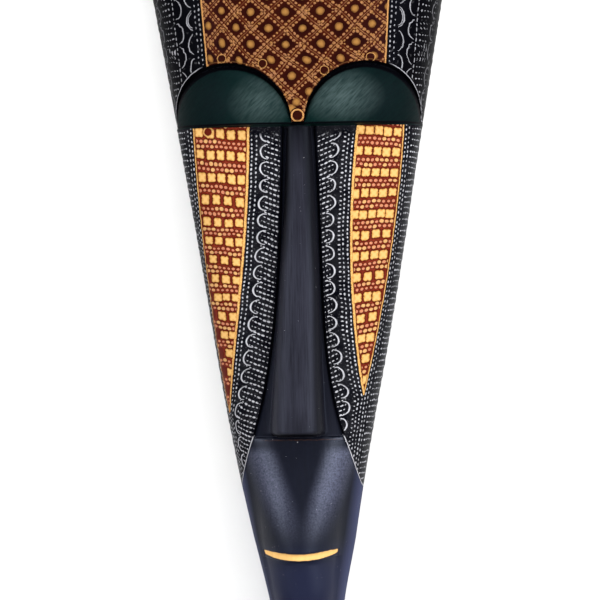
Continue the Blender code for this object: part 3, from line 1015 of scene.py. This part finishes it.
def forehead_finish():
    made = Finish("forehead_paint")
    g, h, brow = made.coordinates("panel")
    gap, run, _ = made.coordinates("border")
    x_mm = made.x * MM
    wander, swing = made.noise(70, 1.0)
    quiver, shiver = made.noise(380, 1.0)

    level = h - g * g * BENT
    g = g - (-g - PULL_FROM).most(0.0) * PULL
    slip = h.falling(SLIP_FROM, SLIP_RUN) * SLIP
    u = (g - slip + wander.stray(2.2) + quiver.stray(0.5)) / DISC_PITCH + DISC_SIDE
    v = (level + swing.stray(2.0) + shiver.stray(0.5) - DISC_LEVEL) / DISC_RISE
    up, down = u + v, u - v
    beads, ridges = None, None
    for here, other in ((up, down), (down, up)):
        offset = abs((here - 0.5).wrapped(1.0)) * CELL + quiver.stray(0.4)
        chance = made.chance(other.nearest(BEAD_STEP), here.nearest(0.5), 4.0)
        size = 0.7 + 0.5 * chance
        beside = other.wrapped(BEAD_STEP) * CELL
        bead = length2((offset - BEAD_ROW) / (size * 0.8), beside / size)
        ridge = offset.under(0.3, 0.25) * (0.1 + 0.6 * chance)
        beads = bead if beads is None else beads.least(bead)
        ridges = ridge if ridges is None else ridges.most(ridge)
    cell_a, cell_b = up.wrapped(1.0), down.wrapped(1.0)
    across_cell = (cell_a + cell_b) * 0.5 * DISC_PITCH
    along_cell = (cell_a - cell_b) * 0.5 * DISC_RISE
    from_disc = length2(across_cell, along_cell).least(from_place(x_mm, h, LAST_DISC))
    from_disc = from_disc + quiver.stray(0.6)
    diamond = abs(cell_a).most(abs(cell_b)).under(0.33, 0.1)

    from_tip = from_place(x_mm, h, TIP)
    rings = stripe(from_tip, TIP_RING, 0.5)
    holes = from_tip.under(TIP_RING - 0.4, 0.3)
    for stamp in STAMPS:
        from_stamp = from_place(x_mm, h, stamp) + quiver.stray(0.8)
        rings = rings.most(stripe(from_stamp, STAMP, 0.3) * 0.75)
        holes = holes.most(from_stamp.under(STAMP - 0.2, 0.3))
    clear = from_tip.over(TIP_RING + 1.0, 0.3) * (1.0 - holes)
    dome = (1.0 - (from_disc / DISC) ** 2.0).most(0.0) ** 0.5 * clear
    bead_dome = (1.0 - beads * beads).most(0.0) ** 0.5 * clear
    drawn = (bead_dome * 2.5).least(1.0).most(ridges * clear)
    ground = made.blend(BROWN, BROWN_DARK, (diamond * 0.8 * (0.6 + swing * 0.8)).most(holes * 0.7))
    line_colour = made.blend(HONEY, DUSTY_TAN, (shiver * 1.4 - 0.2).held())
    colour = made.blend(ground, line_colour, (drawn * (0.75 + quiver * 0.45)).least(1.0))
    colour = made.blend(colour, HONEY_DARK, (dome * 2.2).least(1.0))
    # painted highlight on the top of each domed disc
    colour = made.blend(colour, HONEY_HIGHLIGHT, dome.over(0.82, 0.4) * 0.7)
    edge_line = stripe(gap + quiver.stray(0.6), -0.4, 0.5)
    brow_stroke = stripe(brow + quiver.stray(0.4), 0.7, 0.26)
    colour = made.blend(colour, EDGE_TAN, edge_line.most(rings).most(brow_stroke * 0.15))

    border = Drawn(made, gap, run, 2.0, (wander, swing, quiver, shiver))
    marks = all_of(
        border.dots(1.9, 2.9),
        border.dots(4.6, 3.3, phase=1.5),
        border.arcs(7.2, 11.0, 13.8, 5.9, half_stroke=0.46, second=0.6),
        border.arcs(18.8, 14.2, 14.2, 5.9, phase=-2.6, half_stroke=0.46, second=0.2),
        border.dots(20.8, 3.0, length=1.0),
        border.rows(22.6, 33.0, 3.1, 3.6),
        border.arcs(42.0, 35.4, 13.0, 5.6, second=0.0, half_stroke=0.5) * 0.5,
        border.rows(38.0, 60.0, 3.6, 3.6, length=0.5) * 0.5,
    )
    wear, _ = made.noise(160, 3.0)
    marks = marks * gap.over(0.6) * (0.15 + wear * 0.8).least(1.0)
    marks = marks * brow.over(1.5) * gap.under(43.0, 6.0)
    dark = made.blend(BLACK_DEEP, WHITE_LINE, (marks * 0.85).most(quiver.over(0.72, 0.1) * 0.06))
    pale_brow = brow_stroke * abs(x_mm).over(56.0, 4.0)
    dark = made.blend(dark, WHITE_LINE, pale_brow * (0.35 + wear * 0.4))
    colour = made.blend(dark, colour, gap.under(0.1))
    # painted shade: the step under the brow's edge is painted black, as its shadowed face
    colour = made.blend(BLACK_DEEP, colour, brow.over(-0.25, 0.3))
    in_panel = gap.under(-0.6)
    strokes = marks.most(in_panel * bead_dome.most(dome * 1.4).most(ridges * 0.6))
    return made.waxed(colour, strokes.most(edge_line).most(rings * in_panel), wear)


# %% [markdown]
# ## The cheeks
#
# Each cheek's wedge is ruled in rows: a row of squares, then two rows of small dots. The painter
# fits as many squares as the narrowing wedge holds, four at the top and one near the tip. A
# square is laid down in dabs, so its corners bulge. The two wedges are not alike: on the left
# the rows close up towards the tip, and on the right they tilt more and more. The band towards
# the nose carries dots, a row of arches and slanting rows of dashes. The outer band has a few
# lines of dots and turns plain where it goes round the side.

# %% Cheek material
SQUARE_LEAST, SQUARE_MOST, ROW_PITCH, DOT_PITCH = 5.95, 6.8, 12.05, 2.75  # mm
FIRST_ROW, CLOSING_FROM, DOT_ROW = 71.0, 52.0, 4.7  # mm: in y, down from there, and off a row
SLOPE, SLOPE_CHANGE, TILTING = 0.1, 0.18, 0.0023  # of the left's rows, less on the right, a mm
CLOSING = 0.175  # how much of the depth below CLOSING_FROM is added to it
LEFT_STAMP, RIGHT_STAMP = (-52.0, 72.4), (45.9, 71.7)  # small rings, in mm


def cheek_finish():
    made = Finish("cheek_paint")
    to_inner, to_outer, to_furrow = made.coordinates("wedge")
    wander, swing = made.noise(80, 1.0)
    quiver, shiver = made.noise(400, 1.0)
    fray, _ = made.noise(1100, 1.0)
    on_right = made.x.over(0.0, SIDE_RUN)
    y_mm = made.y * MM
    level = y_mm + swing.stray(1.8) + shiver.stray(0.5)

    middles, rooms = [], []
    for tip, inner, outer in WEDGES:
        q = made.y.falling(WEDGE_TOP, WEDGE_TOP - tip)
        middles.append((bowed(q, *outer) + bowed(q, *inner)) * (0.5 * MM))
    from_middle = abs(made.x) * MM - mix(*middles, on_right)
    slope = SLOPE + on_right * ((FIRST_ROW - y_mm) * TILTING - SLOPE_CHANGE)
    depth = from_middle * slope - level + FIRST_ROW
    closing_up = (depth - CLOSING_FROM).most(0.0) * (1.0 - on_right) * CLOSING
    depth = depth * (0.93 + on_right * 0.07) + closing_up
    number = depth.nearest(ROW_PITCH)
    for tip, inner, outer in WEDGES:
        q = ((number * ROW_PITCH + 2.5) / (MM * (WEDGE_TOP - tip))).held()
        rooms.append((bowed(q, *outer) - bowed(q, *inner)) * MM)
    room = mix(*rooms, on_right)
    count = (room / (SQUARE_LEAST - on_right * 0.6)).floor().most(1.0)
    pitch = ((room - 1.4) / count).least(SQUARE_MOST)
    along_row = from_middle / pitch + (count - 1.0) * 0.5 + wander.stray(0.12)
    place_in_row = along_row.rounded()
    off_row = number * ROW_PITCH - depth
    chance = made.chance(place_in_row, number, 1.0)
    square_u = abs((along_row - place_in_row) * pitch + chance.stray(0.5))
    square_v = abs(off_row + chance.stray(0.7))
    dab = length2((square_u - 1.2) / 1.2, (square_v - 1.35) / 1.25)
    dab = dab.least(((square_u / 2.3) ** 5.0 + (square_v / 2.5) ** 5.0) ** 0.2)
    bulge = dab / (0.93 + chance * 0.12 + quiver.stray(0.3) + fray.stray(0.45))
    corner, lit_core = bulge.under(1.0, 0.14), bulge.under(0.62, 0.6)
    inside = to_inner.least(to_outer).least(to_inner + to_outer - 1.0)
    square = corner * place_in_row.over(-0.5, 0.01) * (count - place_in_row).over(0.5, 0.01)
    square = square * inside.over(1.3, 0.3)
    row_sign = off_row.math("SIGN")
    slid = from_middle + row_sign * 0.5 + wander.stray(1.2)
    dot_chance = made.chance(slid.nearest(DOT_PITCH), number * 3.0 + row_sign, 2.0)
    size = 0.74 + dot_chance * 0.42
    dot_u = slid.wrapped(DOT_PITCH) / size
    dot_v = (abs(off_row) - DOT_ROW + dot_chance.stray(0.5)) / size
    dot = blob(dot_u, dot_v, 1.1, 0.98) * inside.over(1.8, 0.3)
    # a darker ring round each square and dot: partly the dark ground, partly painted shade beside the
    # raised wax
    shade_outline = bulge.under(1.35, 0.3).most(blob(dot_u, dot_v, 1.6, 1.45))
    broad = (to_outer - to_inner).over(0.0, 0.2)
    edge_line = stripe(inside + quiver.stray(0.6) + fray.stray(0.7), 0.5, 0.5)
    broad_line = stripe(to_inner + quiver.stray(0.7) + fray.stray(1.1), 0.7, 0.72)
    edge_line = edge_line.most(broad_line * broad)
    stamp = from_place(made.x * MM, y_mm, LEFT_STAMP) + quiver.stray(0.6)
    in_stamp = stamp.under(2.5, 0.3)
    faint = from_place(made.x * MM, y_mm, RIGHT_STAMP) + quiver.stray(0.8)
    stamp_ring = stripe(stamp, 2.6, 0.4).most(stripe(faint, 2.3, 0.3) * 0.6)
    square, dot = square * (1.0 - in_stamp), dot * (1.0 - in_stamp)

    wear, streak = made.noise(150, 3.0)
    ground = made.blend(MAROON_DARK, MAROON, (streak * 1.6).least(1.0))
    dot_colour = made.blend(TAN, YELLOW, dot_chance.over(0.68, 0.2) * 0.7)
    # painted shade round the marks, over the dark ground
    ground = made.blend(ground, MAROON_DARK, shade_outline * 0.75)
    colour = made.blend(ground, dot_colour, dot * (0.75 + quiver * 0.3).least(1.0))
    # an ochre edge and a yellow middle on each square: partly its own paint, partly painted shade and
    # highlight of the raised dab
    colour = made.blend(colour, OCHRE, square)
    colour = made.blend(colour, YELLOW, square * lit_core)
    edge_colour = made.blend(OCHRE, YELLOW, fray.over(0.5, 0.3))
    colour = made.blend(colour, edge_colour, edge_line.most(stamp_ring * 0.8))

    hand = wander, swing, quiver, shiver
    inner = Drawn(made, -to_inner, y_mm, 5.0, hand)
    arched = Drawn(made, -to_inner - on_right * 2.9, y_mm, 6.0, hand)
    inner_marks = all_of(
        inner.dots(1.5, 2.4, across=0.46, length=0.66),
        inner.dots(4.1, 2.65, across=0.46, length=0.66, phase=1.2),
        inner.dots(6.3, 2.6, across=0.7, length=0.42, phase=0.5) * on_right,
        arched.arcs(11.2, 6.5, 10.0, 4.0, second=0.0, half_stroke=0.5),
        arched.rows(8.8, 30.0, 2.3, 2.9, across=0.86, length=0.46, slope=0.38),
    )
    inner_marks = inner_marks * to_inner.under(-0.7) * to_furrow.over(1.0, 0.4)
    inner_marks = inner_marks * y_mm.under(69.5, 3.0)
    outer = Drawn(made, -to_outer, y_mm, 7.0, hand)
    outer_marks = all_of(
        outer.dots(1.6, 2.7, across=0.52, length=0.74),
        outer.dots(4.3, 2.8, across=0.5, length=0.7, phase=1.0) * 0.9,
        outer.rows(6.6, 40.0, 3.1, 3.3, across=0.95, length=0.45),
    )
    outer_marks = outer_marks * to_outer.under(-0.7) * to_outer.over(-30.0, 6.0)
    _, _, to_jaw = made.coordinates("lid")
    jaw_line = stripe(to_jaw + quiver.stray(0.4), 0.5, 0.32)
    marks = (inner_marks.most(outer_marks) * to_jaw.over(1.2)).most(jaw_line)
    marks = marks * (0.3 + wear * 0.9).least(1.0)
    marks = (marks * 1.1).least(1.0)
    dark = made.blend(BLACK_DEEP, BLACK, wear * 0.35)
    haze = streak.over(0.5, 0.3) * 0.015 + fray.over(0.66, 0.12) * 0.08
    dark = made.blend(dark, WHITE_LINE, haze * to_furrow.over(1.0, 0.4))
    dark = made.blend(dark, WHITE_LINE, marks)
    colour = made.blend(dark, colour, inside.over(-0.1))
    strokes = marks.most(inside.over(0.0) * square.most(dot)).most(edge_line)
    return made.waxed(colour, strokes, wear)


# %% [markdown]
# ## Eyelids, plain black and bare wood
#
# The lids are matt green. A black margin round them widens outwards and is partly painted shade
# of the groove, their green is painted darker towards the outer ends as painted shade, and a
# paler patch on their inner parts is a painted highlight. The nose, the muzzle and the chin have
# no drawing. The nose is matt too; a painted highlight makes its front a little lighter, in fine
# streaks down its length. The muzzle is glossier, and two paler streaks of painted highlight run
# down it and meet above the mouth; a thin painted highlight in wood colour follows its top edge.
# The mouth is a slit cut after painting, so the raw wood shows.


# %% Plain materials
LID_HIGHLIGHT_PLACE, LID_HIGHLIGHT_SIZE = (0.0205, 0.0885), (0.02, 0.0175)  # the left lid's painted highlight, in metres
LID_HIGHLIGHT_OUT, LID_HIGHLIGHT_UP = 0.006, 0.003  # on the right it lies farther out, is wider, and lies higher
MUZZLE_HIGHLIGHT_TOP, MUZZLE_HIGHLIGHT_LEFT = 0.1147, 0.0012  # metres the muzzle's painted highlights begin below and left of the middle
MUZZLE_HIGHLIGHT_APART, MUZZLE_HIGHLIGHT_SLANT, MUZZLE_HIGHLIGHT_THIN = 24.0, 17.0, 0.006  # mm, mm, and 1 / mm^2


def lid_finish():
    made = Finish("lid_paint")
    from_groove, from_edge, _ = made.coordinates("lid")
    outer_part = (abs(made.x) / (0.45 * WIDTH)).least(1.0)
    brush, patch = made.slanted_noise(950, 150)
    quiver, _ = made.noise(260, 1.0)
    # the black margin round the green widens outwards: partly the lid's black border, partly painted
    # shade of the groove wall
    margin = 1.7 + (outer_part**3.0) * 3.4 + quiver.stray(0.8)
    green = (from_groove - margin).over(0.0, 0.8) * from_edge.over(0.7, 0.4)
    outwards = ((outer_part - 0.35) / 0.25).held()
    # painted shade: the green goes darker towards the outer end of each lid, mixed with random brush
    # tone
    share = (brush * 0.3 + patch * 0.5 + (1.0 - outwards) * 0.5 - 0.15).held()
    colour = made.blend(GREEN_SHADE, GREEN, share)
    # painted highlight: a paler green patch on the inner part of each lid, where it faces the light
    on_right = made.x.over(0.0, SIDE_RUN)
    beside = abs(made.x) - LID_HIGHLIGHT_PLACE[0] - on_right * LID_HIGHLIGHT_OUT
    beside = beside / (LID_HIGHLIGHT_SIZE[0] + on_right * LID_HIGHLIGHT_OUT)
    above = (made.y - LID_HIGHLIGHT_PLACE[1] - on_right * LID_HIGHLIGHT_UP) / LID_HIGHLIGHT_SIZE[1]
    lid_highlight = (1.0 - length2(beside, above)).most(0.0)
    lid_highlight = (lid_highlight * (0.6 + on_right * 0.22) * (brush * 2.4 - 0.35)).most(0.0).least(0.85)
    colour = made.blend(colour, GREEN_HIGHLIGHT, lid_highlight)
    colour = made.blend(BLACK_DEEP, colour, green)
    return made.finish(colour, 0.26 + brush * 0.12 + outwards * 0.25, brush, 0.00016, 0.016)


def nose_finish():
    made = Finish("nose_paint")
    _, _, nose_out = made.coordinates("mouth")
    brush, patch = made.noise((900, 22, 300), 4.0, 0.7)
    leaning = nose_out + made.x * 14.0 + brush.stray(0.3)
    broad = made.y.falling(0.03, 0.04) * 0.28 + 0.54
    fading = made.y.falling(0.079, 0.03)
    above_end = made.y - nose_y
    from_end = above_end * MM
    # painted highlight: the nose's front is painted lighter grey in streaks, fading towards the eyes
    # and the nose's end, and its right edge a little too
    front = leaning.under(broad, 0.42) * from_end.over(3.0, 1.0) * fading
    front = front * (1.0 - from_end.under(14.0, 10.0) * nose_out.under(0.45, 0.5) * 0.35)
    front = front * (brush * 2.0 + patch * 0.6 - 0.44 - above_end * 0.7)
    front = front.most(made.x.over(0.008, 0.004) * nose_out.under(1.5, 0.4) * 0.24)
    colour = made.blend(BLACK_DEEP, BLACK, nose_out.over(1.0, 0.1) * (0.3 + patch * 0.7))
    colour = made.dusty(made.blend(colour, HIGHLIGHT_GREY, front.least(1.0)))
    return made.finish(colour, 0.4 + brush * 0.1, brush, 0.0001, 0.04)


def black_finish():
    made = Finish("black_paint")
    reach, open_part, _ = made.coordinates("mouth")
    brush, patch = made.noise((520, 45, 240), 4.0, 0.6)
    grain, cloud = made.noise((700, 1500, 1100), 2.0, 0.7)
    quiver, _ = made.noise(300, 1.0)
    colour = made.blend(BLACK_DEEP, BLACK, (brush * 0.6 + patch * 0.7).least(1.0))
    colour = made.blend(colour, BLUE_BLACK, made.y.falling(-0.165, 0.02) * 0.8)
    # painted reflection: the sides turn bluish towards the rim, as where they mirror the pale floor
    colour = made.blend(colour, REFLECTION_BLUE, abs(reach).over(1.19, 0.2) * 0.8)
    # painted highlight: two paler bands run down the muzzle and meet above the mouth, brighter on the
    # right
    down_muzzle = (made.y + MUZZLE_HIGHLIGHT_TOP) * -20.0
    branch = abs(made.x + MUZZLE_HIGHLIGHT_LEFT) * MM + down_muzzle * MUZZLE_HIGHLIGHT_SLANT - MUZZLE_HIGHLIGHT_APART
    highlight_grain, _ = made.noise(900, 3.0, 0.7)
    muzzle_highlight = (1.0 - branch * branch * MUZZLE_HIGHLIGHT_THIN).most(0.0)
    muzzle_highlight = muzzle_highlight * muzzle_highlight * down_muzzle.over(-0.02, 0.1) * down_muzzle.under(0.8, 0.6)
    muzzle_highlight = muzzle_highlight * (highlight_grain * 1.8 - 0.3) * (0.7 + made.x.over(0.0, 0.01) * 0.25)
    colour = made.dusty(made.blend(colour, HIGHLIGHT_BLUE_GREY, muzzle_highlight.most(0.0).least(0.8)))
    # painted highlight: a thin line in wood colour along the muzzle's top edge, just under the nose
    edge_highlight = stripe((made.y - nose_y) * MM + quiver.stray(1.0), -0.9, 0.3)
    edge_highlight = edge_highlight * abs(made.x).under(0.023, 0.004) * (cloud.over(0.5, 0.3) * 0.3)
    colour = made.blend(colour, WOOD_DARK, edge_highlight)
    closing = reach * reach
    narrowing = closing * 0.12 + closing**4.0 * 0.45
    from_slit = abs(open_part - closing * 0.32 + quiver.stray(0.3))
    raw = (0.9 - narrowing - from_slit).over(0.0, 0.12)
    raw = raw * (abs(reach) + quiver.stray(0.06)).under(0.97, 0.03)
    colour = made.blend(colour, made.blend(WOOD_RAW, OCHRE, (brush * 0.6).least(1.0)), raw)
    at_side = abs(reach).over(0.98, 0.2).most(down_muzzle.over(0.85, 0.4) * 0.4)
    roughness = 0.26 + brush * 0.08 + patch * 0.08 + at_side * 0.45
    roughness = mix(roughness, 0.7, raw)
    return made.finish(colour, roughness, brush * 0.5 + grain * 0.5, 0.00014, 0.13)


def bare_wood_finish():
    made = Finish("bare_wood")
    fibre, patch = made.noise((420, 26, 420), 5.0, 0.6)
    pore, _ = made.noise((1500, 120, 1500))
    rings = ((fibre * 2.0 + patch * 1.5) * 9.0).math("SINE") * 0.5 + 0.5
    colour = made.blend(WOOD_DARK, WOOD_LIGHT, rings * 0.5 + fibre * 0.4)
    colour = made.blend(colour, WOOD_DARK, pore.over(0.64, 0.1) * 0.6)
    return made.finish(colour, 0.62 + fibre * 0.2, fibre + pore * 0.4, 0.0003, 0.2)


# in the order of the slots
finishes = forehead_finish, lid_finish, cheek_finish, black_finish, bare_wood_finish, nose_finish
for finish in finishes:
    mesh.materials.append(finish())
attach(mask, "root")
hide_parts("mask")
print("finishes:", [m.name for m in mesh.materials])

# %% [markdown]
# ## Floor, light and camera
#
# The mask lies on a plain pale floor. The camera looks down on it from above, tipped a few
# degrees to the mask's right, so the face fills the picture from the lower forehead to the chin.
# Long soft lights stand on all four sides, and a weak one hangs above. The right one is the
# strongest, so the forms have a lighter side. The low light skims the paint, which keeps black
# paint black and still shows its edges.

# %% Floor
FLOOR_REACH = 8.0
corners = [(-1, -1), (1, -1), (1, 1), (-1, 1)]
floor_mesh = bpy.data.meshes.new("floor")
corners = [(FLOOR_REACH * a, FLOOR_REACH * b, 0.0) for a, b in corners]
floor_mesh.from_pydata(corners, [], [(0, 1, 2, 3)])
pale = bpy.data.materials.new("pale_floor")
pale.use_nodes = True
pale_inputs = {"Base Color": (0.62, 0.62, 0.62, 1.0), "Roughness": 0.9}
plug(pale.node_tree.nodes["Principled BSDF"], pale_inputs)
floor_mesh.materials.append(pale)
floor = in_scene("floor", floor_mesh)


# %% Lights
def soft_light(name, place, size, power):
    """a rectangular light at a place, turned towards the middle of the mask"""
    light = bpy.data.lights.new(name, "AREA")
    light.shape = "RECTANGLE"
    light.size, light.size_y = size
    light.energy = power
    holder = in_scene(name, light)
    holder.location = place
    holder.rotation_mode = "QUATERNION"
    holder.rotation_quaternion = (-Vector(place)).to_track_quat("-Z", "Y")


soft_light("left_light", (-1.35, 0.18, 1.15), (0.6, 1.2), 41.0)
soft_light("right_light", (1.35, 0.18, 1.15), (0.6, 1.2), 62.0)
soft_light("head_light", (0.0, 1.5, 1.3), (1.6, 0.6), 31.0)
soft_light("foot_light", (0.0, -1.5, 1.3), (2.0, 0.8), 22.0)
soft_light("ceiling_light", (0.0, 0.05, 3.0), (0.6, 0.5), 6.0)
world = bpy.data.worlds.new("studio")
world.use_nodes = True
plug(world.node_tree.nodes["Background"], {"Color": (1.0, 1.0, 1.0, 1.0), "Strength": 0.08})
bpy.context.scene.world = world
bpy.context.scene.view_settings.view_transform = "Standard"

# %% Camera
PICTURE = 0.3528  # metres of the mask across the picture
DISTANCE, TURN, ROLL = 2.5, math.radians(2.3), math.radians(-1.0)
AIM = Vector((-0.0010, -0.0265, 0.025))
camera_data = bpy.data.cameras.new("camera")
camera_data.sensor_width = 36.0
camera_data.lens = camera_data.sensor_width * DISTANCE / PICTURE
camera = in_scene("camera", camera_data)
out = math.sin(TURN) * math.cos(ROLL), math.sin(TURN) * math.sin(ROLL), math.cos(TURN)
camera.location = AIM + DISTANCE * Vector(out)
camera.rotation_euler = (0.0, TURN, ROLL)
bpy.context.scene.camera = camera
print("camera at, m:", [round(value, 3) for value in camera.location])
